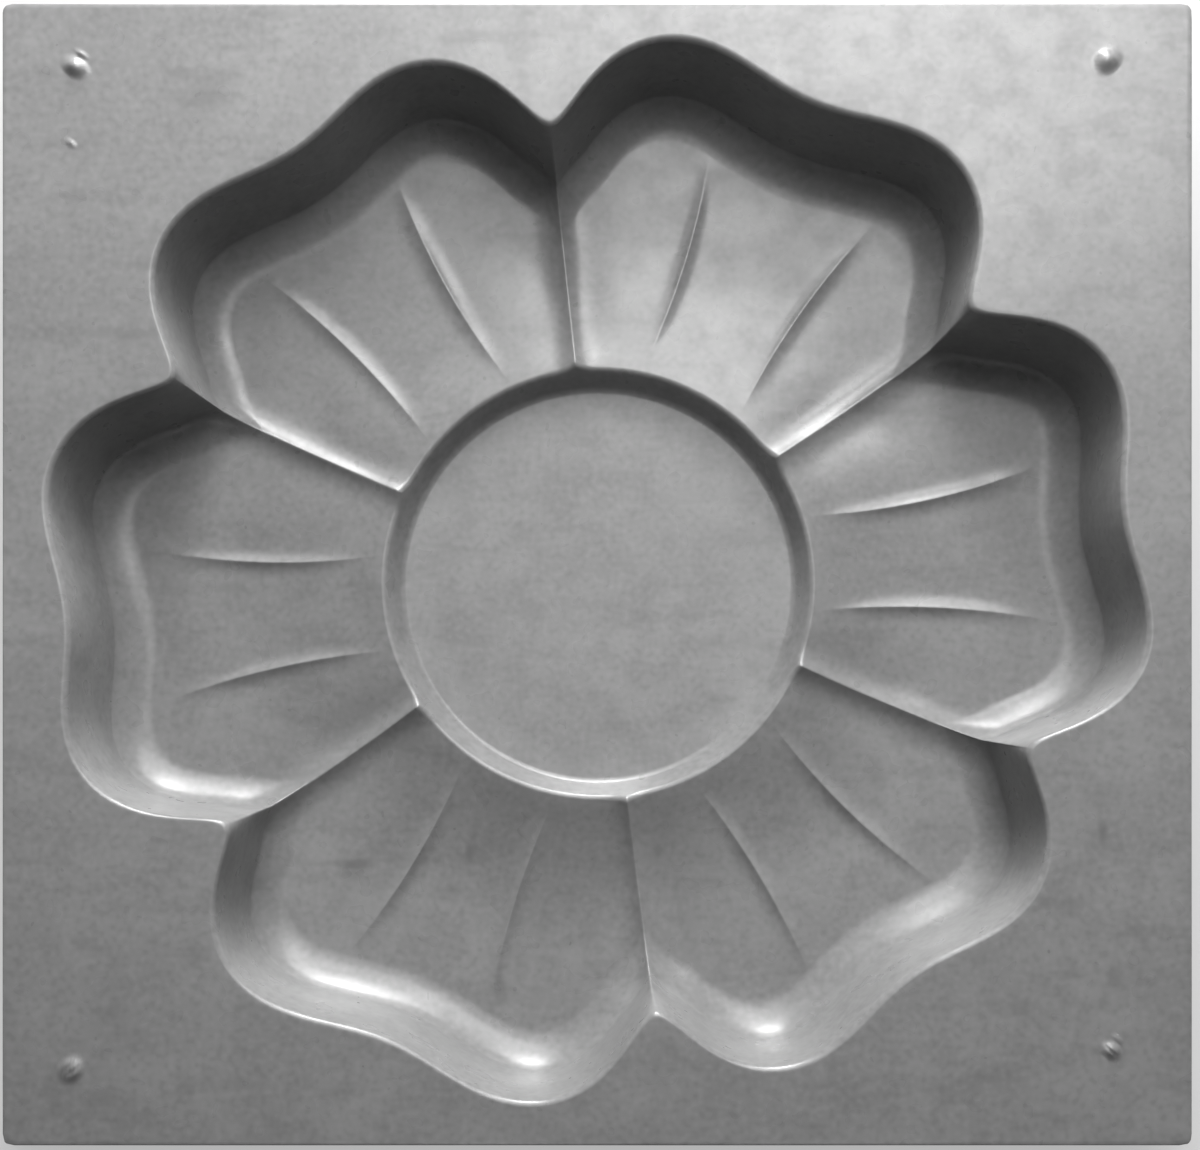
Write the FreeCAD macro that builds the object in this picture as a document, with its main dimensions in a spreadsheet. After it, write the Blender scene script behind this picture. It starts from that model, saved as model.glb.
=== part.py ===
import FreeCAD, Part
import math
import os

# Concrete path mould: one sheet of plastic, vacuum formed into a shallow six-petal flower.
# The mould lies open side up. Its origin is at the middle of the rectangle that it covers,
# on the surface that it rests on, with +Z up and +X along the long side.

Vector = FreeCAD.Vector

# Driving sizes, in millimetres and degrees: name, value, meaning
SIZES = [
    ("sheet_width", 400, "long side of the rectangular sheet"),
    ("sheet_length", 384, "short side of the rectangular sheet"),
    ("sheet_corner", 3, "corner radius of the sheet"),
    ("rim_height", 45, "from the underside of the disc to the face of the flat rim"),
    ("sheet_thickness", 2, "thickness of the formed plastic"),
    ("side_margin", 13, "flat rim left beside the flower, left and right"),
    ("end_margin", 11.5, "flat rim left beyond the flower, front and back"),
    ("flower_shift", 1.5, "how far the flower sits behind the sheet's middle"),
    ("first_ridge_angle", 36.3, "direction of the first ridge"),
    ("lobe_swell", 4.5, "half the difference between a lobe's crest and the dip between two"),
    ("notch_depth", 29.5, "how far a notch between petals reaches in from the lobes' crests"),
    ("notch_angle", 5.2, "angle over which a notch opens into its petals"),
    ("notch_tip_angle", 1.1, "angle over which a notch's tip is rounded at the flat rim"),
    ("notch_power", 1.4, "how straight the two sides of a notch run to its tip"),
    ("wall_draft_angle", 14, "lean of the cavity's outer wall"),
    ("rim_round", 2, "radius of the edge where the wall leaves the flat rim"),
    ("foot_lift", 2, "how far the petal's floor rises to the foot of the wall"),
    ("blend_round", 10, "radius of the round that carries the wall into the petal's floor"),
    ("deepest_share", 0.55, "where a petal is deepest, as a share of its length"),
    ("floor_round", 70, "radius of the floor's hollow along that line"),
    ("petal_lift", 1.5, "how far the deepest line of a petal lies above the disc"),
    ("petal_rise", 7, "rise of a petal's floor from there to the disc's edge"),
    ("disc_radius", 69, "radius of the flat round middle at its foot"),
    ("disc_lean_angle", 28, "lean of the step round the disc"),
    ("disc_edge_round", 2, "radius of the step's upper edge"),
    ("disc_foot_round", 4, "radius of the step's foot"),
    ("ridge_height", 3, "height of the ridge between two petals"),
    ("ridge_span", 11, "distance at which a ridge has died away into its petal"),
    ("ridge_back_round", 3, "softness of the ridges on the back of the sheet"),
    ("vein_height", 1.5, "height of a petal's veins"),
    ("vein_span", 6.5, "distance at which a vein has died away"),
    ("vein_back_round", 2.5, "softness of the veins on the back of the sheet"),
    ("vein_start", 82, "reach at which the veins start"),
    ("vein_end", 152, "reach at which the veins end"),
    ("vein_spread", 17, "distance of a vein's start from the petal's centre line"),
    ("vein_flare", 9, "how much further out its end lies"),
    ("pip_radius", 4, "radius of a corner pip at the flat rim"),
    ("pip_height", 2, "height of a corner pip"),
    ("pip_root", 0.5, "how deep a pip is rooted in the flat rim"),
    ("pit_radius", 1.2, "radius of the pit in the two front pips"),
    ("pit_depth", 0.8, "depth of that pit"),
]

# Hand finish of the pattern, one value for each ridge or petal, anticlockwise from the first
RIDGE_SKEW = ("ridge_skew_angle", [-1.3, -0.3, -0.8, -1.8, 1.2, 1.3], "turn of a ridge from its even place")
NOTCH_TRIM = ("notch_trim", [0, 1.2, 2, -2.5, 0.5, 2], "extra reach of a notch")
PETAL_TRIM = ("petal_trim", [0.3, 0, 0.5, 0, -2, 0], "extra reach of a petal")
VEIN_SKEW_A = ("first_vein_skew_angle", [-2.7, 0.8, 0.6, -0.2, 0.9, -0.7], "turn of a petal's first vein")
VEIN_SKEW_B = ("second_vein_skew_angle", [0, 1.5, 0, -0.3, 0.9, -1.3], "turn of a petal's second vein")
PIP_INSET_X = ("pip_inset_x", [28.5, 24.5, 23, 27.5], "inset of a pip from the side edge")
PIP_INSET_Y = ("pip_inset_y", [19, 21.5, 25.5, 32.5], "inset of a pip from the end edge")
FINISH = [RIDGE_SKEW, NOTCH_TRIM, PETAL_TRIM, VEIN_SKEW_A, VEIN_SKEW_B, PIP_INSET_X, PIP_INSET_Y]

PETALS = 6
LOBES = 2
VEINS = 2
CORNERS = [(1, 1), (-1, 1), (-1, -1), (1, -1)]
PITTED = (3, 4)

# How finely a skin is divided between two creases
STRIPS = 5


def fill_sheet(document):
    """Write the driving sizes into the spreadsheet, one named cell each, and read them back."""
    cells = document.addObject("Spreadsheet::Sheet", "Sizes")
    rows = list(SIZES)
    for name, values, meaning in FINISH:
        rows += [(f"{name}_{number}", value, meaning) for number, value in enumerate(values, 1)]
    for line, (name, value, meaning) in enumerate(rows, 1):
        cells.set(f"A{line}", name)
        cells.set(f"B{line}", str(value))
        cells.setAlias(f"B{line}", name)
        cells.set(f"C{line}", meaning)
    document.recompute()
    return {name: float(cells.get(name)) for name, value, meaning in rows}


def size(name):
    """A driving size by its name."""
    return sheet_sizes[name]


def finish(group, index):
    """A hand-finish value of one ridge, petal or corner."""
    return size(f"{group[0]}_{index % len(group[1]) + 1}")


def ridge_angle(index):
    """Direction of a ridge, in degrees, counting on past a full turn."""
    return size("first_ridge_angle") + index * 360 / PETALS + finish(RIDGE_SKEW, index)


def crest_reach(angle):
    """Reach of the lobes' crests: an oval that keeps its margins to the sheet's four edges."""
    across = size("sheet_width") / 2 - size("side_margin")
    along = size("sheet_length") / 2 - size("end_margin")
    return (across + along) / 2 + (across - along) / 2 * math.cos(math.radians(2 * angle))


def notch_reach(index):
    """Reach of the notch at a ridge."""
    return crest_reach(ridge_angle(index)) - size("notch_depth") + finish(NOTCH_TRIM, index)


def outline_reach(petal, angle, tip):
    """Reach of the outline: a petal's lobes, and on either side a notch with a soft or crisp tip."""
    start = ridge_angle(petal)
    end = ridge_angle(petal + 1)
    phase = 2 * math.pi * LOBES * (angle - start) / (end - start)
    swell = size("lobe_swell")
    reach = crest_reach(angle) + finish(PETAL_TRIM, petal) - swell * (1 + math.cos(phase))
    for index, ridge in ((petal, start), (petal + 1, end)):
        plain = crest_reach(ridge) + finish(PETAL_TRIM, petal) - 2 * swell
        turn = math.hypot(angle - ridge, tip)
        opening = math.exp(-(turn / size("notch_angle")) ** size("notch_power"))
        reach -= (plain - notch_reach(index)) * opening
    return reach


def falling(distance, span):
    """How much of a crest is left at a distance from it: hollow flanks that end at the span."""
    return max(0, 1 - distance / span) ** 3


def round_corner(before, corner, after, radius):
    """Start, middle and end of the arc that rounds a corner of a section."""
    back = (before - corner).normalize()
    forth = (after - corner).normalize()
    half = back.getAngle(forth) / 2
    pivot = corner + (back + forth).normalize() * (radius / math.sin(half))
    middle = pivot + (corner - pivot).normalize() * radius
    return [corner + back * (radius / math.tan(half)), middle, corner + forth * (radius / math.tan(half))]


class Side:
    """One side of the formed sheet: the cavity, or the back that lies some depth behind it."""

    def __init__(self, behind):
        draft = math.radians(size("wall_draft_angle"))
        lean = math.radians(size("disc_lean_angle"))
        self.top = size("rim_height") - behind
        self.disc = size("sheet_thickness") - behind
        self.low = self.disc + size("petal_lift")
        self.draft = math.tan(draft)
        self.lean = math.tan(lean)
        self.growth = behind * (1 - math.sin(draft)) / math.cos(draft)
        self.disc_foot = size("disc_radius") + behind * (1 - math.sin(lean)) / math.cos(lean)
        self.cavity = behind == 0
        self.rounds = [
            size("rim_round") - behind,
            size("blend_round") + behind,
            size("floor_round") + behind,
            size("disc_edge_round") - behind,
            size("disc_foot_round") + behind,
        ]

    def ridge(self, distance, height):
        """Height of a ridge at a distance from its crest: sharp inside, softened on the back."""
        soft = 0 if self.cavity else size("ridge_back_round")
        drop = (self.top - height) / (self.top - self.low)
        return size("ridge_height") * drop * falling(math.hypot(distance, soft), size("ridge_span"))

    def vein(self, distance, reach):
        """Height of a vein at a distance from its crest, fading to nothing at both ends."""
        place = (reach - size("vein_start")) / (size("vein_end") - size("vein_start"))
        if place <= 0 or place >= 1:
            return 0
        soft = 0 if self.cavity else size("vein_back_round")
        fade = 4 * place * (1 - place)
        return size("vein_height") * fade * falling(math.hypot(distance, soft), size("vein_span"))

    def section(self, petal, angle, raised):
        """Lines and arcs of this side's section at one angle, from the flat rim down to the disc."""
        rim = outline_reach(petal, angle, size("notch_tip_angle")) + self.growth
        tip = 0 if self.cavity else size("notch_tip_angle")
        foot = outline_reach(petal, angle, tip) + self.growth
        foot -= (self.top - self.low - size("foot_lift")) * self.draft
        edge = self.disc_foot + (self.low + size("petal_rise") - self.disc) * self.lean
        deepest = edge + size("deepest_share") * (foot - edge)
        push = raised(foot, self.low)
        edge_height = self.low + size("petal_rise")
        edge_height += raised(edge, edge_height)
        corners = [
            Vector(rim + size("rim_round"), 0, self.top),
            Vector(rim, 0, self.top),
            Vector(foot - push, 0, self.low + size("foot_lift") + push),
            Vector(deepest, 0, self.low + raised(deepest, self.low)),
            Vector(self.disc_foot + (edge_height - self.disc) * self.lean, 0, edge_height),
            Vector(self.disc_foot, 0, self.disc),
            Vector(0, 0, self.disc),
        ]
        pieces = []
        end = None
        for before, corner, after, radius in zip(corners, corners[1:], corners[2:], self.rounds):
            bend = round_corner(before, corner, after, radius) if radius > 0 else [corner]
            if end:
                pieces.append([end, bend[0]])
            if radius > 0:
                pieces.append(bend)
            end = bend[-1]
        return pieces


def vein_angle(petal, order, reach):
    """Direction of a point on a vein, which bows towards the petal's centre line."""
    centre = (ridge_angle(petal) + ridge_angle(petal + 1)) / 2
    place = (reach - size("vein_start")) / (size("vein_end") - size("vein_start"))
    offset = size("vein_spread") + size("vein_flare") * place ** 2
    turn = math.degrees(math.asin(offset / reach))
    if order == 0:
        return centre - turn + finish(VEIN_SKEW_A, petal)
    return centre + turn + finish(VEIN_SKEW_B, petal)


def spaced():
    """Shares of the way from one crease to the next, closer together near both."""
    even = [strip / STRIPS for strip in range(STRIPS)]
    return [(share + (1 - math.cos(math.pi * share)) / 2) / 2 for share in even]


def creases_at(petal, reach):
    """Directions of a petal's first ridge, two veins and second ridge at a reach."""
    veins = [vein_angle(petal, order, reach) for order in range(VEINS)]
    return [ridge_angle(petal), *veins, ridge_angle(petal + 1)]


def handle_at(side, petal, creases, angle, piece, number):
    """One handle of the section at an angle, raised by the ridges and veins near it."""

    def raised(reach, height):
        gaps = [reach * math.radians(abs(angle - crease)) for crease in creases]
        ridges = side.ridge(gaps[0], height) + side.ridge(gaps[-1], height)
        return ridges + sum(side.vein(gap, reach) for gap in gaps[1:-1])

    handle = side.section(petal, angle, raised)[piece][number]
    bearing = math.radians(angle)
    shift = size("flower_shift")
    return Vector(handle.x * math.cos(bearing), handle.x * math.sin(bearing) + shift, handle.z)


def section_handles(side, petal, panel, share):
    """Handles of a section line, a share of the way from one crease of a petal to the next."""
    middle = (ridge_angle(petal) + ridge_angle(petal + 1)) / 2
    plain = side.section(petal, middle, lambda reach, height: 0)
    handles = []
    for piece, points in enumerate(plain):
        placed = []
        for number, point in enumerate(points):
            creases = creases_at(petal, point.x)
            angle = creases[panel] + share * (creases[panel + 1] - creases[panel])
            placed.append(handle_at(side, petal, creases, angle, piece, number))
        handles.append(placed)
    return handles


def piece_edge(handles):
    """One piece of a section: a line by its two ends, or an arc by its ends and middle."""
    if len(handles) == 2:
        return Part.LineSegment(*handles).toShape()
    return Part.Arc(*handles).toShape()


def skin(side):
    """Faces of one side of the flower, with its borders at the flat rim and at the disc."""
    sections = []
    for petal in range(PETALS):
        for panel in range(VEINS + 1):
            sections += [section_handles(side, petal, panel, share) for share in spaced()]
    wires = [Part.Wire([piece_edge(piece) for piece in section]) for section in sections]
    faces = []
    for wire, following in zip(wires, wires[1:] + wires[:1]):
        faces += Part.makeRuledSurface(wire, following).Faces
    rim = [section[0][0] for section in sections]
    disc = [section[-1][-1] for section in sections]
    return faces, Part.makePolygon(rim + rim[:1]), Part.makePolygon(disc + disc[:1])


def sheet_outline(level):
    """Outline of the sheet at a height: a rectangle with rounded corners."""
    across = size("sheet_width") / 2
    along = size("sheet_length") / 2
    corner = size("sheet_corner")
    edges = []
    for quarter in range(4):
        half, depth = (across, along) if quarter % 2 == 0 else (along, across)
        turn = FreeCAD.Rotation(Vector(0, 0, 1), 90 * quarter)
        lower = turn.multVec(Vector(half, corner - depth, level))
        upper = turn.multVec(Vector(half, depth - corner, level))
        pivot = turn.multVec(Vector(half - corner, depth - corner, level))
        outer = turn.multVec(Vector(half - corner, depth, level))
        diagonal = turn.multVec(Vector(1, 1, 0)).normalize()
        edges.append(Part.LineSegment(lower, upper).toShape())
        edges.append(Part.Arc(upper, pivot + diagonal * corner, outer).toShape())
    return Part.Wire(edges)


def formed_sheet():
    """The flat rim and the flower, sewn from their faces into one solid."""
    thickness = size("sheet_thickness")
    cavity = Side(0)
    back = Side(thickness)
    faces = sheet_outline(back.top).extrude(Vector(0, 0, thickness)).Faces
    for side in (cavity, back):
        flower, rim, disc = skin(side)
        faces += flower
        faces += Part.makeFace([sheet_outline(side.top), rim], "Part::FaceMakerBullseye").Faces
        faces.append(Part.Face(disc))
    sewn = Part.makeCompound(faces)
    sewn.sewShape()
    solid = Part.makeSolid(sewn.Shells[0])
    if solid.Volume < 0:
        solid.reverse()
    return solid


def bound(document, kind, name, sizes):
    """A solid of the document with its sizes bound to the sheet."""
    solid = document.addObject(kind, name)
    for property_name, expression in sizes.items():
        solid.setExpression(property_name, expression)
    return solid


def pips(document):
    """Corner pips: domes pressed up out of the flat rim, hollow behind, two with a pit on top."""
    ball = "(Sizes.pip_radius^2 + Sizes.pip_height^2) / (2 * Sizes.pip_height)"
    domes = []
    hollows = []
    for number, (right, behind) in enumerate(CORNERS, 1):
        place = {
            "Placement.Base.x": f"{right} * (Sizes.sheet_width / 2 - Sizes.pip_inset_x_{number})",
            "Placement.Base.y": f"{behind} * (Sizes.sheet_length / 2 - Sizes.pip_inset_y_{number})",
            "Placement.Base.z": f"Sizes.rim_height + Sizes.pip_height - {ball}",
        }
        root = f"asin(1 - (Sizes.pip_height + Sizes.pip_root) / ({ball}))"
        dome = {**place, "Radius": ball, "Angle1": root}
        domes.append(bound(document, "Part::Sphere", f"pip_{number}", dome))
        hollow = {**place, "Radius": f"{ball} - Sizes.sheet_thickness"}
        hollows.append(bound(document, "Part::Sphere", f"pip_hollow_{number}", hollow))
        if number in PITTED:
            pit = {
                **place,
                "Placement.Base.z": "Sizes.rim_height + Sizes.pip_height - Sizes.pit_depth",
                "Radius1": "Sizes.pit_radius / 2",
                "Radius2": "Sizes.pit_radius",
                "Height": "Sizes.pit_depth",
            }
            hollows.append(bound(document, "Part::Cone", f"pip_pit_{number}", pit))
    return domes, hollows


def check(document, part):
    """Stop before anything is written where an object has failed or the part isn't one sound solid."""
    for thing in document.Objects:
        if "Invalid" in thing.State or "Error" in thing.State:
            raise RuntimeError(f"{thing.Name} has failed: {thing.State}")
    shape = part.Shape
    if shape.isNull() or not shape.isValid() or len(shape.Solids) != 1:
        raise RuntimeError(f"{part.Label} isn't one sound solid")


document = FreeCAD.newDocument("path_mould")
sheet_sizes = fill_sheet(document)
form = document.addObject("Part::Feature", "formed_sheet")
form.Shape = formed_sheet()
domes, hollows = pips(document)
raised_sheet = document.addObject("Part::MultiFuse", "sheet_with_pips")
raised_sheet.Shapes = [form] + domes
hollow_tools = document.addObject("Part::MultiFuse", "pip_hollows")
hollow_tools.Shapes = hollows
mould_sheet = document.addObject("Part::Cut", "mould_sheet")
mould_sheet.Label = "mould_sheet"
mould_sheet.Base = raised_sheet
mould_sheet.Tool = hollow_tools
document.recompute()
check(document, mould_sheet)
os.makedirs("parts", exist_ok=True)
mould_sheet.Shape.exportStep(f"parts/{mould_sheet.Label}.step")
print("volume", mould_sheet.Shape.Volume, "faces", len(mould_sheet.Shape.Faces))
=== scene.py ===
import math

import bpy
from mathutils import Matrix, Vector, noise


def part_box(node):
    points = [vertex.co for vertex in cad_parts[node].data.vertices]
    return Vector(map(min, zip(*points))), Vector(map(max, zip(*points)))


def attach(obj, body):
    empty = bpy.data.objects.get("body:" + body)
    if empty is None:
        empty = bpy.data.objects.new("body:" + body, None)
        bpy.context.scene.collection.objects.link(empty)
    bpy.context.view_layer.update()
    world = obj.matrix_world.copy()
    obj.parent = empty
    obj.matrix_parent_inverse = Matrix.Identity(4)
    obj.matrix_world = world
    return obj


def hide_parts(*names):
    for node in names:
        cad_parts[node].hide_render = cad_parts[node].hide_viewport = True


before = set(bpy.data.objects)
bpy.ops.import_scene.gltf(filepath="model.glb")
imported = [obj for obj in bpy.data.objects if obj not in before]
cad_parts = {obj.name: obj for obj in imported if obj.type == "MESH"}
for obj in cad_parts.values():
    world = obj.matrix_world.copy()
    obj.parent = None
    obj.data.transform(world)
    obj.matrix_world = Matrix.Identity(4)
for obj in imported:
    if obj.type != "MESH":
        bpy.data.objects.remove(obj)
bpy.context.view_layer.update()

# Concrete path mould: one sheet of plastic, vacuum formed into a shallow six-petal flower.
# Lengths of the form are in millimetres and become metres as each point is placed.
MM = 0.001
PETALS = 6
CORNERS = [(1, 1), (-1, 1), (-1, -1), (1, -1)]

# The sheet and its flat rim
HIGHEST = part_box("mould_sheet")[1] / MM
SHEET_HALF_X = HIGHEST.x
SHEET_HALF_Y = HIGHEST.y
SHEET_CORNER = 3
SHEET_EDGE_ROUND = 0.35
THICKNESS = 2
PIP_HEIGHT = 2
RIM_HEIGHT = HIGHEST.z - PIP_HEIGHT
SIDE_MARGIN = 13
END_MARGIN = 11.5
FLOWER_SHIFT = 1.5

# Outline of the flower
FIRST_RIDGE = 36.3
LOBE_SWELL = 4.5
NOTCH_DEPTH = 29.5
NOTCH_TURN = 5.2
NOTCH_POINT = 1.4
NOTCH_SOFTNESS = 2.4
NOTCH_CRISPNESS = 0.1
RIM_NOTCH_EXTRA = 1.5
FLANK_START = 1.2
FLANK_RUN = 40
OUTLINE_STEPS = 160
LINE_STEP = 0.2

# Section of the flower, from the flat rim down to the round middle
WALL_DRAFT = math.radians(14)
RIM_ROUND = 2.5
FOOT_LIFT = 4.2
FOOT_SLANT = 7
FOOT_SOFTNESS = 6.5
BLEND_HEIGHT = 3.5
DEEPEST_SHARE = 0.55
PETAL_LIFT = 1.5
PETAL_RISE = 7
DISC_RADIUS = 69
DISC_LEAN = math.radians(33)
DISC_EDGE_ROUND = 2.2
DISC_FOOT_ROUND = 3

# Ridges between the petals, and the two veins on each petal
RIDGE_HEIGHT = 3
RIDGE_SPAN = 11
RIDGE_CREST = 0.35
RIDGE_BACK_ROUND = 3
VEIN_HEIGHT = 1.5
VEIN_SPAN = 6.5
VEIN_CREST = 0.3
VEIN_BACK_ROUND = 2.5
VEIN_START = 82
VEIN_END = 152
VEIN_SPREAD = 17
VEIN_FLARE = 9

# Hand finish of the pattern, one value for each ridge or petal, anticlockwise from the first
RIDGE_SKEW = [-1.3, -0.3, -0.8, -1.8, 1.2, 1.3]
NOTCH_TRIM = [0, 1.2, 2, -2.5, 0.5, 2]
PETAL_TRIM = [0.3, 0, 0.5, 0, -2, 0]
VEIN_SKEW_A = [-2.7, 0.8, 0.6, -0.2, 0.9, -0.7]
VEIN_SKEW_B = [0, 1.5, 0, -0.3, 0.9, -1.3]
PIP_INSET_X = [28.5, 24.5, 23, 27.5]
PIP_INSET_Y = [19, 21.5, 25.5, 32.5]

# Domes and hollows of each corner's pip: height, centre, half width, half length, and turn in degrees
PIP_DOMES = [
    [(PIP_HEIGHT, (0, 0), 4.8, 4.8, 0)],
    [(PIP_HEIGHT, (0, 0.1), 5, 3.8, -18), (0.6, (2.1, 4.5), 2.4, 1.1, -25)],
    [(1.7, (0, 0), 5, 5, 0), (-1.1, (-0.3, -0.2), 2.9, 2.6, 0), (0.7, (0.2, 0.3), 1.3, 1.3, 0)],
    [(1.4, (0.4, -0.7), 3.6, 3.3, 0), (-0.9, (0.5, -1), 1.1, 1.1, 0), (0.35, (2.4, 3.4), 1.6, 1.4, 0)],
]
BUBBLE = (-177, 145)
BUBBLE_DOMES = [(0.6, (0, 0), 1.7, 1.7, 0)]

# The flat rim is drawn finer round each pip, and sags by a little in long waves
PIP_REACH = 10
PIP_CUTS = 6
LEVEL_ENOUGH = 0.999
RIM_UNDERSIDE = RIM_HEIGHT - THICKNESS - 0.1
SAG_DEPTH = 0.35
SAG_WAVE = 90

# The plastic: its plain shade, how matt it is, and its orange peel
PLAIN_SHADE = "7a7a7a"
ROUGHNESS_LEAST, ROUGHNESS_MOST = 0.27, 0.34
ABS_IOR = 1.53
PEEL_STRENGTH = 0.35
PEEL_DEPTH = 0.02

# Cloudy patterns: size of a patch, finer detail, direction in degrees, and how far drawn out along it
PATTERNS = {
    "clouds": (38, 2),
    "haze": (11, 2),
    "streaks": (7, 2, 52, 5),
    "specks": (2.2, 0),
    "peel": (1.1, 0),
}

# Shades over the plain one: pattern, where it starts and ends in the pattern, and its greatest share
LAYERS = [
    ("868686", "clouds", 0.4, 0.7, 0.5),
    ("6b6b6b", "haze", 0.45, 0.75, 0.4),
    ("666666", "streaks", 0.5, 0.8, 0.4),
    ("8e8e8e", "specks", 0.5, 0.85, 0.25),
    ("5c5c5c", "specks", 0.5, 0.15, 0.25),
]

# Smears and scuffs: centre, half width, half length, turn in degrees, and depth
SMEAR_SHADE = "585858"
SMEARS = [
    (-86, -97, 9, 6, 20, 0.6),
    (-44, -88, 3, 11, -15, 0.6),
    (-53, -107, 7, 5, 30, 0.5),
    (-34, -140, 3, 13, 8, 0.35),
    (113, -87, 6, 9, -30, 0.5),
    (98, -66, 5, 7, 40, 0.45),
    (68, -133, 10, 7, 0, 0.4),
    (170, -85, 2.5, 9, 5, 0.5),
    (174, -135, 4, 6, 0, 0.4),
    (-134, 161, 18, 12, 15, 0.3),
    (-44, 181, 14, 4, 5, 0.4),
    (-178, -96, 6, 14, 10, 0.3),
    (-168, -178, 12, 7, 25, 0.3),
]

# How sharply a smear ends, as shares of its size, and how the streaks break it up
SMEAR_OUTER, SMEAR_INNER = 1, 0.15
BROKEN_FROM, BROKEN_TO, BROKEN_LEAST = 0.3, 0.65, 0.15

# Colour sockets of the mix node, which share their names with its other kinds
MIX_SHARE, MIX_FIRST, MIX_SECOND, MIX_RESULT = 0, 6, 7, 2

# Where the lamps stand, in metres
LAMP_DISTANCE = 1.1
LAMP_AIM = Vector((0, 0, 0.02))

# A low window behind the mould, paler light above and beside it, and a little from overhead:
# bearing and elevation in degrees, width and height in metres, and power in watts
LAMPS = {
    "window_sill": (0, 10, 0.4, 0.2, 9),
    "window": (0, 20, 0.38, 0.3, 9.5),
    "upper_window": (0, 36, 0.4, 0.4, 6.9),
    "side_window": (20, 28, 0.3, 0.3, 2.6),
    "right_wall": (26, 47, 0.3, 0.3, 2),
    "left_wall": (-26, 47, 0.3, 0.3, 0.9),
    "skylight": (14, 62, 0.5, 0.3, 4.6),
    "overhead": (0, 82, 0.3, 0.3, 1),
}
ROOM_LIGHT = 0.015

# The floor: its paint, its size in metres, and how much of what the lens sees is plain shade
FLOOR_SHADE = "e0e0e0"
FLOOR_ROUGHNESS = 0.8
FLOOR_SIZE = 60
FLOOR_PLAIN_SHARE = 0.6

# The camera looks straight down from here, in metres, with its lens shifted to centre the sheet
CAMERA_PLACE = (0.009, -0.116, 0.945)
CAMERA_SHIFT = (-0.02, 0.287)
SENSOR_WIDTH = 36
LENS = 80.3

# How finely the sheet is drawn
PANEL_COLUMNS = 32
PANELS = 3
PANEL_CROWDING = 0.82
ROWS_TO_A_PIECE = [7, 7, 20, 4, 10, 6, 3, 6]
BACK_ROWS_TO_A_PIECE = [2, 3, 9, 2, 4, 2, 2, 5]
RIM_ROWS = 15
RIM_CROWDING = 0.7
DISC_ROWS = 5
DISC_CROWDING = 0.8
EDGE_TURNS = (0, 30, 60, 90)
CORNER_DRAW_FROM = 6
CORNER_DRAW_POWER = 0.8


def value(values, index):
    """The hand-finish value of a ridge or petal, counting on past a full turn."""
    return values[index % len(values)]


def ridge_angle(index):
    """Direction of a ridge, in degrees."""
    return FIRST_RIDGE + index * 360 / PETALS + value(RIDGE_SKEW, index)


def petal_middle(petal):
    """Direction of a petal's centre line, in degrees."""
    return (ridge_angle(petal) + ridge_angle(petal + 1)) / 2


def heading(angle):
    """The unit vector that points in a direction given in degrees."""
    turn = math.radians(angle)
    return Vector((math.cos(turn), math.sin(turn)))


def crest_reach(angle):
    """Reach of the lobes' crests: an oval that keeps its margins to the sheet's four edges."""
    across = SHEET_HALF_X - SIDE_MARGIN
    along = SHEET_HALF_Y - END_MARGIN
    return (across + along) / 2 + (across - along) / 2 * math.cos(math.radians(2 * angle))


def outline_reach(petal, angle, softness, extra):
    """Reach of the outline: two lobes to a petal, and a notch with a soft or crisp tip on either side."""
    start = ridge_angle(petal)
    end = ridge_angle(petal + 1)
    phase = 4 * math.pi * (angle - start) / (end - start)
    trim = value(PETAL_TRIM, petal)
    reach = crest_reach(angle) + trim - LOBE_SWELL * (1 + math.cos(phase))
    tip = math.exp(-(softness / NOTCH_TURN) ** NOTCH_POINT)
    for index, ridge in ((petal, start), (petal + 1, end)):
        notch = NOTCH_DEPTH - value(NOTCH_TRIM, index) + trim - 2 * LOBE_SWELL + extra
        away = math.hypot(angle - ridge, softness)
        reach -= notch * math.exp(-(away / NOTCH_TURN) ** NOTCH_POINT) / tip
    return reach


def inner_line(petal, inset):
    """Reaches of a petal's outline moved inwards by a distance, and run on straight past its notches."""
    start = ridge_angle(petal)
    end = ridge_angle(petal + 1)
    outline = []
    for number in range(OUTLINE_STEPS + 1):
        angle = start + FLANK_START + (end - start - 2 * FLANK_START) * number / OUTLINE_STEPS
        outline.append(heading(angle) * outline_reach(petal, angle, NOTCH_CRISPNESS, 0))
    outline.insert(0, outline[0] + (outline[0] - outline[1]).normalized() * FLANK_RUN)
    outline.append(outline[-1] + (outline[-1] - outline[-2]).normalized() * FLANK_RUN)
    centre = petal_middle(petal)
    line = []
    for before, point, after in zip(outline[:1] + outline, outline, outline[1:] + outline[-1:]):
        along = (after - before).normalized()
        moved = point + Vector((-along.y, along.x)) * inset
        bearing = math.degrees(math.atan2(moved.y, moved.x))
        line.append(((bearing - centre + 180) % 360 - 180, moved.length))
    reaches = {}
    for (first, first_reach), (last, last_reach) in zip(line, line[1:]):
        for step in range(math.ceil(first / LINE_STEP), math.floor(last / LINE_STEP) + 1):
            share = (step * LINE_STEP - first) / (last - first)
            reach = first_reach + share * (last_reach - first_reach)
            reaches[step] = min(reach, reaches.get(step, reach))
    return centre, reaches


def reach_on(line, angle):
    """Reach of a moved-in outline at one angle."""
    centre, reaches = line
    place = (angle - centre) / LINE_STEP
    low = math.floor(place)
    return reaches[low] + (place - low) * (reaches[low + 1] - reaches[low])


def falling(distance, span):
    """How much of a crest is left at a distance from it: hollow flanks that end at the span."""
    return max(0, 1 - distance / span) ** 3


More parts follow.
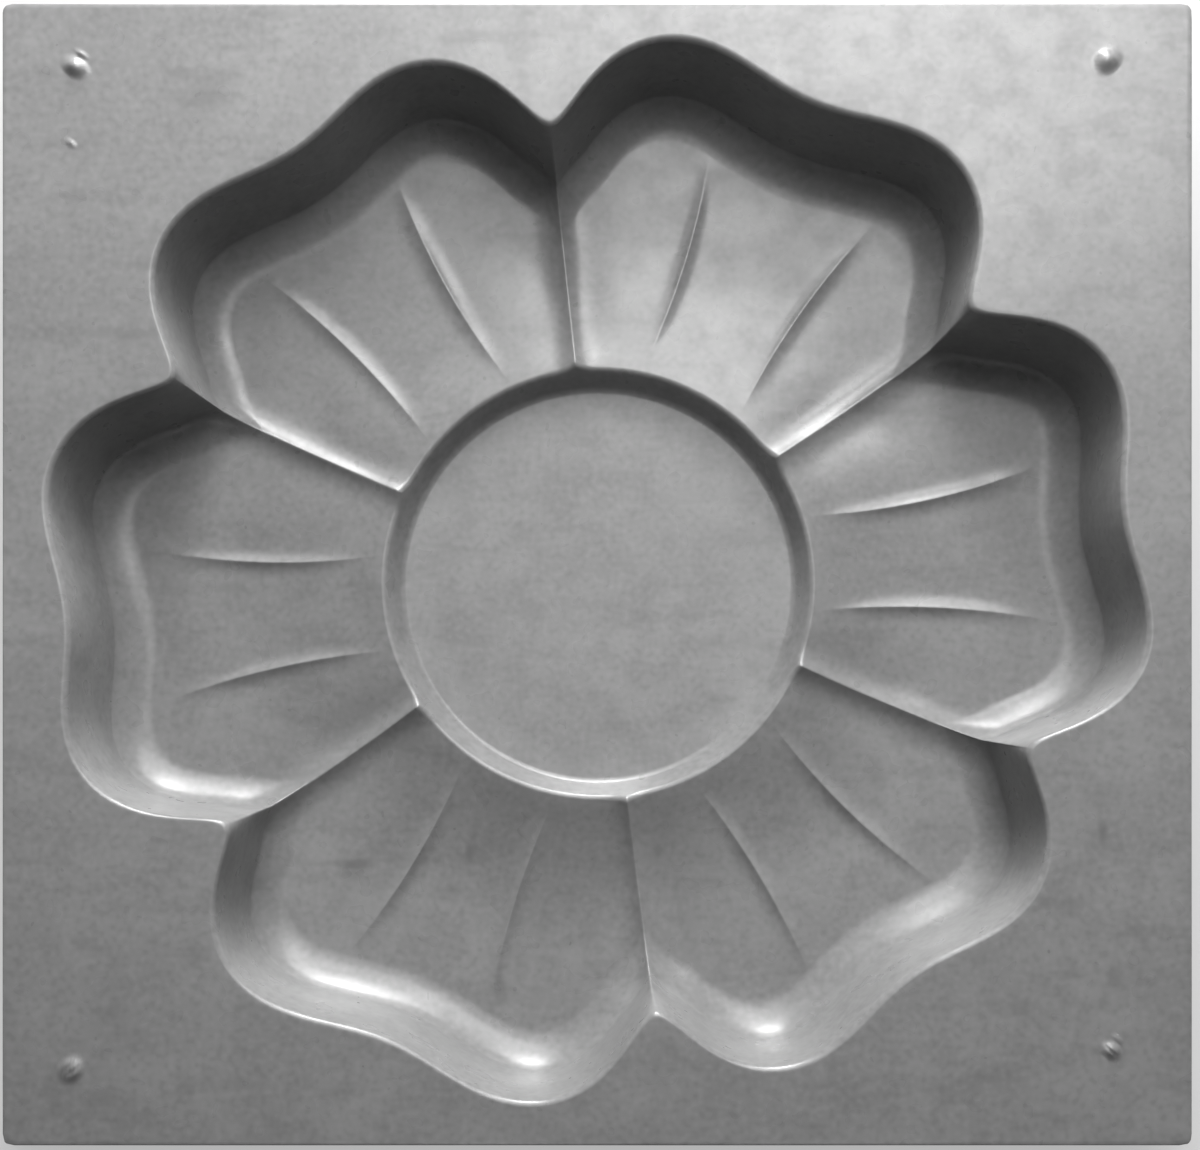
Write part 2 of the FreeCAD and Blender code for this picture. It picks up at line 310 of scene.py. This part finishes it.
def round_corner(before, corner, after, radius):
    """Start, pivot and end of the arc that rounds a corner of a section."""
    back = (before - corner).normalized()
    forth = (after - corner).normalized()
    half = back.angle(forth) / 2
    pivot = corner + (back + forth).normalized() * (radius / math.sin(half))
    tangent = radius / math.tan(half)
    return [corner + back * tangent, pivot, corner + forth * tangent]


class Side:
    """One side of the formed sheet: the cavity, or the back that lies some depth behind it."""

    def __init__(self, behind):
        self.top = RIM_HEIGHT - behind
        self.disc = THICKNESS - behind
        self.low = self.disc + PETAL_LIFT
        self.draft = math.tan(WALL_DRAFT)
        self.lean = math.tan(DISC_LEAN)
        self.growth = behind * (1 - math.sin(WALL_DRAFT)) / math.cos(WALL_DRAFT)
        self.disc_foot = DISC_RADIUS + behind * (1 - math.sin(DISC_LEAN)) / math.cos(DISC_LEAN)
        self.rim_round = RIM_ROUND - behind
        self.edge_round = DISC_EDGE_ROUND - behind
        self.foot_round = DISC_FOOT_ROUND + behind
        self.ridge_soft = RIDGE_BACK_ROUND if behind else RIDGE_CREST
        self.vein_soft = VEIN_BACK_ROUND if behind else VEIN_CREST
        inset = (self.top - self.low - FOOT_LIFT) * self.draft - self.growth
        self.feet = [inner_line(petal, inset) for petal in range(PETALS)]
        self.slants = [inner_line(petal, inset + FOOT_SLANT) for petal in range(PETALS)]

    def ridge(self, distance, height):
        """Height of a ridge at a distance from its crest, fading out up the wall."""
        drop = (self.top - height) / (self.top - self.low)
        return RIDGE_HEIGHT * drop * falling(math.hypot(distance, self.ridge_soft), RIDGE_SPAN)

    def vein(self, distance, reach):
        """Height of a vein at a distance from its crest, fading to nothing at both ends."""
        place = (reach - VEIN_START) / (VEIN_END - VEIN_START)
        if place <= 0 or place >= 1:
            return 0
        swell = 4 * place * (1 - place)
        return VEIN_HEIGHT * swell * falling(math.hypot(distance, self.vein_soft), VEIN_SPAN)

    def section(self, petal, angle):
        """Pieces of this side's section at one angle, from the flat rim down to the disc."""
        rim = outline_reach(petal, angle, NOTCH_SOFTNESS, RIM_NOTCH_EXTRA) + self.growth
        foot_height = self.low + FOOT_LIFT
        foot = reach_on(self.feet[petal], angle)
        edge = self.disc_foot + (self.low + PETAL_RISE - self.disc) * self.lean
        deepest = edge + DEEPEST_SHARE * (foot - edge)
        turns = [math.radians(abs(angle - ridge_angle(index))) for index in (petal, petal + 1)]

        def raised(reach, height):
            return sum(self.ridge(reach * turn, height) for turn in turns)

        push = raised(foot, self.low)
        wall_foot = Vector((foot - push, foot_height + push))
        rim_corner = Vector((rim, self.top))
        flat_rim = Vector((rim + RIM_ROUND, self.top))
        rim_arc = round_corner(flat_rim, rim_corner, wall_foot, self.rim_round)
        blend_top = wall_foot.y + BLEND_HEIGHT
        share = (rim_arc[2].y - blend_top) / (rim_arc[2].y - wall_foot.y)
        wall_end = rim_arc[2].lerp(wall_foot, share)

        level_end = reach_on(self.slants[petal], angle) - push
        outer_floor = Vector((level_end, self.low + raised(level_end, self.low)))
        middle = (deepest + edge) / 2
        inner_floor = Vector((middle, self.low + raised(middle, self.low)))
        bottom = outer_floor.lerp(inner_floor, (level_end - deepest) / (level_end - middle))
        slant_end = outer_floor.lerp(inner_floor, FOOT_SOFTNESS / (level_end - middle))

        edge_height = self.low + PETAL_RISE
        edge_height += raised(edge, edge_height)
        edge_corner = Vector((self.disc_foot + (edge_height - self.disc) * self.lean, edge_height))
        disc_foot = Vector((self.disc_foot, self.disc))
        edge_arc = round_corner(inner_floor, edge_corner, disc_foot, self.edge_round)
        foot_arc = round_corner(edge_corner, disc_foot, Vector((0, self.disc)), self.foot_round)
        return [
            ("arc", rim_arc),
            ("curve", [rim_arc[2], wall_end]),
            ("curve", [wall_end, wall_foot, outer_floor, slant_end]),
            ("curve", [slant_end, bottom]),
            ("curve", [bottom, inner_floor, edge_arc[0]]),
            ("arc", edge_arc),
            ("curve", [edge_arc[2], foot_arc[0]]),
            ("arc", foot_arc),
        ]


def point_on(piece, share):
    """Reach and height of a point some share of the way along one piece of a section."""
    kind, handles = piece
    if kind == "arc":
        start, pivot, end = handles
        return pivot + (start - pivot).slerp(end - pivot, share) * (start - pivot).length
    while len(handles) > 1:
        handles = [near.lerp(far, share) for near, far in zip(handles, handles[1:])]
    return handles[0]


def vein_angle(petal, order, reach):
    """Direction of a point on a vein, which bows towards the petal's centre line."""
    centre = petal_middle(petal)
    place = (reach - VEIN_START) / (VEIN_END - VEIN_START)
    turn = math.degrees(math.asin((VEIN_SPREAD + VEIN_FLARE * place ** 2) / reach))
    if order == 0:
        return centre - turn + value(VEIN_SKEW_A, petal)
    return centre + turn + value(VEIN_SKEW_B, petal)


def creases_at(petal, reach):
    """Directions of a petal's first ridge, two veins and second ridge at a reach."""
    return [
        ridge_angle(petal),
        vein_angle(petal, 0, reach),
        vein_angle(petal, 1, reach),
        ridge_angle(petal + 1),
    ]


def column_places():
    """Petal, panel and share of the way across it for each column of the sheet."""
    places = []
    for petal in range(PETALS):
        for panel in range(PANELS):
            for column in range(PANEL_COLUMNS):
                even = column / PANEL_COLUMNS
                crowded = even - PANEL_CROWDING * math.sin(2 * math.pi * even) / (2 * math.pi)
                places.append((petal, panel, crowded))
    return places


def flower_point(side, petal, panel, share, piece, along):
    """Direction, reach and height of a point of one side of the flower."""
    reach = point_on(side.section(petal, petal_middle(petal))[piece], along).x
    for settle in range(2):
        creases = creases_at(petal, reach)
        angle = creases[panel] + share * (creases[panel + 1] - creases[panel])
        reach, height = point_on(side.section(petal, angle)[piece], along)
    for order in range(2):
        gap = reach * math.radians(abs(angle - vein_angle(petal, order, reach)))
        height += side.vein(gap, reach)
    return angle, reach, height


def edge_reach(angle, inset):
    """Reach from the flower's centre to the sheet's edge, or to a line inset from it."""
    bearing = heading(angle)
    half_x = SHEET_HALF_X - inset
    half_y = SHEET_HALF_Y - inset
    room_y = half_y - math.copysign(FLOWER_SHIFT, bearing.y)
    reach = min(half_x / max(abs(bearing.x), 1e-9), room_y / max(abs(bearing.y), 1e-9))
    corner = SHEET_CORNER - inset
    pivot = Vector((
        math.copysign(half_x - corner, bearing.x),
        math.copysign(half_y - corner, bearing.y) - FLOWER_SHIFT,
    ))
    hit = bearing * reach
    if abs(hit.x) > abs(pivot.x) and (hit.y - pivot.y) * math.copysign(1, pivot.y) > 0:
        along = bearing.dot(pivot)
        reach = along + math.sqrt(along ** 2 - pivot.length_squared + corner ** 2)
    return reach


def edge_angle(angle):
    """Direction at which a column meets the sheet's edge, drawn in towards the rounded corners."""
    for right, behind in CORNERS:
        corner = math.degrees(math.atan2(
            behind * (SHEET_HALF_Y - SHEET_CORNER / 3) - FLOWER_SHIFT,
            right * (SHEET_HALF_X - SHEET_CORNER / 3),
        ))
        away = (angle - corner + 180) % 360 - 180
        if abs(away) < CORNER_DRAW_FROM:
            return corner + away * (abs(away) / CORNER_DRAW_FROM) ** CORNER_DRAW_POWER
    return angle


def sheet_rows():
    """How each row of the sheet is placed, from the middle of the disc round the edge to the back."""
    rows = []
    for back, counts in ((False, ROWS_TO_A_PIECE), (True, BACK_ROWS_TO_A_PIECE)):
        half = [("disc", (number / DISC_ROWS) ** DISC_CROWDING) for number in range(DISC_ROWS)]
        for piece in range(len(counts) - 1, -1, -1):
            half += [("flower", piece, 1 - number / counts[piece]) for number in range(counts[piece])]
        half.append(("flower", 0, 0))
        for number in range(1, RIM_ROWS):
            even = number / RIM_ROWS
            half.append(("rim", even - RIM_CROWDING * math.sin(2 * math.pi * even) / (2 * math.pi)))
        half += [("edge", turn) for turn in EDGE_TURNS]
        half = [(back, *row) for row in half]
        rows += reversed(half) if back else half
    return rows


def placed(angle, reach, height):
    """A point of the sheet, in millimetres, from its direction and reach in the flower."""
    bearing = math.radians(angle)
    return Vector((reach * math.cos(bearing), reach * math.sin(bearing) + FLOWER_SHIFT, height))


def sheet_point(side, column, row, cache):
    """The point of the sheet at one crossing of a column and a row."""
    petal, panel, share = column
    kind = row[1]
    if kind == "flower":
        return placed(*flower_point(side, petal, panel, share, row[2], row[3]))
    if kind == "disc":
        key = (side.disc, column, "disc")
        if key not in cache:
            cache[key] = flower_point(side, petal, panel, share, -1, 1)
        angle, reach, height = cache[key]
        return placed(angle, reach * row[2], height)
    key = (side.disc, column, "rim")
    if key not in cache:
        cache[key] = flower_point(side, petal, panel, share, 0, 0)
    angle, reach, height = cache[key]
    outer = edge_angle(angle)
    if kind == "rim":
        inner_point = placed(angle, reach, height)
        outer_point = placed(outer, edge_reach(outer, SHEET_EDGE_ROUND), height)
        return inner_point.lerp(outer_point, row[2])
    turn = math.radians(row[2])
    inset = SHEET_EDGE_ROUND * (1 - math.sin(turn))
    fall = SHEET_EDGE_ROUND * (1 - math.cos(turn))
    return placed(outer, edge_reach(outer, inset), height + (fall if row[0] else -fall))


def make_sheet():
    """A flat grid whose lines are drawn into the form, front and back, and closed at its seams."""
    columns = column_places()
    rows = sheet_rows()
    sides = {False: Side(0), True: Side(THICKNESS)}
    bpy.ops.object.select_all(action="DESELECT")
    bpy.ops.mesh.primitive_grid_add(x_subdivisions=len(columns), y_subdivisions=len(rows) - 1, size=2)
    sheet = bpy.context.object
    sheet.name = "formed_mould_sheet"
    cache = {}
    places = []
    for row in rows:
        places.append([sheet_point(sides[row[0]], column, row, cache) * MM for column in columns])
    for vertex in sheet.data.vertices:
        column = round((vertex.co.x + 1) / 2 * len(columns)) % len(columns)
        row = round((vertex.co.y + 1) / 2 * (len(rows) - 1))
        vertex.co = places[row][column]
    bpy.ops.object.mode_set(mode="EDIT")
    bpy.ops.mesh.select_all(action="SELECT")
    bpy.ops.mesh.remove_doubles(threshold=1e-6)
    bpy.ops.mesh.normals_make_consistent(inside=False)
    bpy.ops.mesh.select_all(action="DESELECT")
    bpy.ops.object.mode_set(mode="OBJECT")
    press_pips(sheet)
    let_rim_sag(sheet)
    bpy.ops.object.shade_smooth()
    return sheet


def dome(place, centre, half_width, half_length, turn):
    """Height of a round or oval dome with a soft foot, one at its top."""
    away = place - Vector(centre)
    away.rotate(Matrix.Rotation(math.radians(-turn), 2))
    share = (away.x / half_width) ** 2 + (away.y / half_length) ** 2
    return (1 - share) ** 2 if share < 1 else 0


def raised_by(domes, place):
    """Height that a group of domes and hollows adds at a place from their common centre."""
    return sum(height * dome(place, *shape) for height, *shape in domes)


def press_pips(sheet):
    """Press the corner pips and one small bubble up out of the flat rim, hollow behind."""
    pips = [(Vector(BUBBLE), BUBBLE_DOMES)]
    for (right, behind), inset_x, inset_y, domes in zip(CORNERS, PIP_INSET_X, PIP_INSET_Y, PIP_DOMES):
        centre = Vector((right * (SHEET_HALF_X - inset_x), behind * (SHEET_HALF_Y - inset_y)))
        pips.append((centre, domes))
    mesh = sheet.data
    for polygon in mesh.polygons:
        middle = polygon.center / MM
        level = abs(polygon.normal.z) > LEVEL_ENOUGH and middle.z > RIM_UNDERSIDE
        near = any((middle.xy - centre).length < PIP_REACH for centre, domes in pips)
        polygon.select = level and near
    bpy.ops.object.mode_set(mode="EDIT")
    bpy.ops.mesh.select_mode(type="FACE")
    bpy.ops.mesh.subdivide(number_cuts=PIP_CUTS)
    bpy.ops.object.mode_set(mode="OBJECT")
    for vertex in mesh.vertices:
        place = vertex.co / MM
        if place.z > RIM_UNDERSIDE:
            for centre, domes in pips:
                if (place.xy - centre).length < PIP_REACH:
                    vertex.co.z += raised_by(domes, place.xy - centre) * MM


def let_rim_sag(sheet):
    """Let the flat rim and the top of the walls sag a little and unevenly, as a thin sheet does."""
    for vertex in sheet.data.vertices:
        place = vertex.co / MM
        share = min(max((place.z - RIM_HEIGHT / 2) / (RIM_HEIGHT / 2 - THICKNESS), 0), 1)
        wave = 0.5 + noise.noise(Vector((place.x, place.y, 0)) / SAG_WAVE)
        vertex.co.z -= SAG_DEPTH * MM * min(max(wave, 0), 1) * share


def linear(shade):
    """A colour written as sRGB hex, as the renderer's linear values."""
    channels = [int(shade[place:place + 2], 16) / 255 for place in (0, 2, 4)]
    return [c / 12.92 if c <= 0.04045 else ((c + 0.055) / 1.055) ** 2.4 for c in channels] + [1]


def add_node(tree, kind, settings=None, links=None):
    """Add a node with its settings and values, and link its inputs to other nodes' outputs."""
    node = tree.nodes.new(kind)
    for name, setting in (settings or {}).items():
        if isinstance(name, str) and hasattr(node, name):
            setattr(node, name, setting)
        else:
            node.inputs[name].default_value = setting
    for name, output in (links or {}).items():
        tree.links.new(output, node.inputs[name])
    return node


def noise_at(tree, place, size, detail, turn=0, stretch=1):
    """A cloudy pattern whose patches are some millimetres across, drawn out along one direction."""
    spread = 1 / (size * MM)
    settings = {"Rotation": (0, 0, math.radians(turn)), "Scale": (spread / stretch, spread, spread)}
    mapping = add_node(tree, "ShaderNodeMapping", settings, {"Vector": place})
    settings = {"Scale": 1, "Detail": detail}
    pattern = add_node(tree, "ShaderNodeTexNoise", settings, {"Vector": mapping.outputs[0]})
    return pattern.outputs["Fac"]


def ramp(tree, fac, low, high, to_low, to_high):
    """Turn a pattern's range from low to high into another range, smoothly, and hold it at both ends."""
    settings = {"interpolation_type": "SMOOTHSTEP", "From Min": low, "From Max": high}
    settings.update({"To Min": to_low, "To Max": to_high})
    return add_node(tree, "ShaderNodeMapRange", settings, {"Value": fac}).outputs["Result"]


def smear(tree, place, pattern, x, y, half_width, half_length, turn, depth):
    """Share of one smear or scuff left by handling: a soft spot on the sheet, broken by a pattern."""
    settings = {
        "vector_type": "TEXTURE",
        "Location": (x * MM, y * MM, 0),
        "Rotation": (0, 0, math.radians(turn)),
        "Scale": (half_width * MM, half_length * MM, 1),
    }
    spot = add_node(tree, "ShaderNodeMapping", settings, {"Vector": place})
    away = add_node(tree, "ShaderNodeVectorMath", {"operation": "LENGTH"}, {0: spot.outputs[0]})
    soft = ramp(tree, away.outputs["Value"], SMEAR_OUTER, SMEAR_INNER, 0, depth)
    broken = ramp(tree, pattern, BROKEN_FROM, BROKEN_TO, BROKEN_LEAST, 1)
    return add_node(tree, "ShaderNodeMath", {"operation": "MULTIPLY"}, {0: soft, 1: broken}).outputs[0]


def formed_plastic():
    """Grey ABS sheet, vacuum formed over a tool: satin, with orange peel, clouded and smeared."""
    material = bpy.data.materials.new("abs_sheet_vacuum_formed")
    material.use_nodes = True
    tree = material.node_tree
    shader = tree.nodes["Principled BSDF"]
    place = add_node(tree, "ShaderNodeTexCoord").outputs["Object"]
    patterns = {name: noise_at(tree, place, *sizes) for name, sizes in PATTERNS.items()}
    layers = []
    for shade, name, low, high, most in LAYERS:
        layers.append((shade, ramp(tree, patterns[name], low, high, 0, most)))
    for spot in SMEARS:
        layers.append((SMEAR_SHADE, smear(tree, place, patterns["streaks"], *spot)))
    colour = None
    for shade, share in layers:
        settings = {"data_type": "RGBA", MIX_FIRST: linear(PLAIN_SHADE), MIX_SECOND: linear(shade)}
        mix = add_node(tree, "ShaderNodeMix", settings, {MIX_SHARE: share})
        if colour:
            tree.links.new(colour, mix.inputs[MIX_FIRST])
        colour = mix.outputs[MIX_RESULT]
    tree.links.new(colour, shader.inputs["Base Color"])
    roughness = ramp(tree, patterns["haze"], 0.3, 0.7, ROUGHNESS_LEAST, ROUGHNESS_MOST)
    tree.links.new(roughness, shader.inputs["Roughness"])
    shader.inputs["IOR"].default_value = ABS_IOR
    settings = {"Strength": PEEL_STRENGTH, "Distance": PEEL_DEPTH * MM}
    bump = add_node(tree, "ShaderNodeBump", settings, {"Height": patterns["peel"]})
    tree.links.new(bump.outputs["Normal"], shader.inputs["Normal"])
    return material


def painted_floor():
    """Matt pale paint, which the lens sees a little paler than the lamps make it."""
    material = bpy.data.materials.new("matt_floor_paint")
    material.use_nodes = True
    tree = material.node_tree
    paint = tree.nodes["Principled BSDF"]
    paint.inputs["Base Color"].default_value = linear(FLOOR_SHADE)
    paint.inputs["Roughness"].default_value = FLOOR_ROUGHNESS
    rays = add_node(tree, "ShaderNodeLightPath")
    seen = rays.outputs["Is Camera Ray"]
    for ray in ("Is Glossy Ray", "Is Transmission Ray"):
        links = {0: seen, 1: rays.outputs[ray]}
        seen = add_node(tree, "ShaderNodeMath", {"operation": "MAXIMUM"}, links).outputs[0]
    settings = {"operation": "MULTIPLY", 1: FLOOR_PLAIN_SHARE}
    share = add_node(tree, "ShaderNodeMath", settings, {0: seen})
    glow = add_node(tree, "ShaderNodeEmission", {"Color": linear(FLOOR_SHADE)})
    links = {0: share.outputs[0], 1: paint.outputs[0], 2: glow.outputs[0]}
    mix = add_node(tree, "ShaderNodeMixShader", None, links)
    tree.links.new(mix.outputs[0], tree.nodes["Material Output"].inputs["Surface"])
    return material


def floor():
    """Plain pale ground that keeps the mould's shadow."""
    bpy.ops.object.select_all(action="DESELECT")
    bpy.ops.mesh.primitive_plane_add(size=FLOOR_SIZE)
    ground = bpy.context.object
    ground.name = "floor"
    ground.data.materials.append(painted_floor())


def camera():
    """Square above the sheet, towards its front edge, with the lens shifted back over it."""
    bpy.ops.object.camera_add(location=CAMERA_PLACE, rotation=(0, 0, 0))
    view = bpy.context.object
    view.data.sensor_width = SENSOR_WIDTH
    view.data.lens = LENS
    view.data.shift_x, view.data.shift_y = CAMERA_SHIFT
    bpy.context.scene.camera = view


def lamp(name, bearing, elevation, width, height, power):
    """A soft rectangular lamp that faces the mould from a bearing and an elevation."""
    turn = math.radians(bearing)
    climb = math.radians(elevation)
    away = Vector((math.sin(turn) * math.cos(climb), math.cos(turn) * math.cos(climb), math.sin(climb)))
    place = away * LAMP_DISTANCE
    bpy.ops.object.light_add(type="AREA", location=place)
    light = bpy.context.object
    light.name = name
    light.data.shape = "RECTANGLE"
    light.data.size = width
    light.data.size_y = height
    light.data.energy = power
    light.rotation_euler = (LAMP_AIM - place).to_track_quat("-Z", "Y").to_euler()


def room():
    """Dim even surroundings."""
    world = bpy.data.worlds.new("studio")
    bpy.context.scene.world = world
    world.use_nodes = True
    background = world.node_tree.nodes["Background"]
    background.inputs["Color"].default_value = linear("ffffff")
    background.inputs["Strength"].default_value = ROOM_LIGHT


sheet = make_sheet()
sheet.data.materials.append(formed_plastic())
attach(sheet, "root")
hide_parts("mould_sheet")
floor()
camera()
for name, settings in LAMPS.items():
    lamp(name, *settings)
room()
bpy.context.scene.view_settings.view_transform = "Standard"
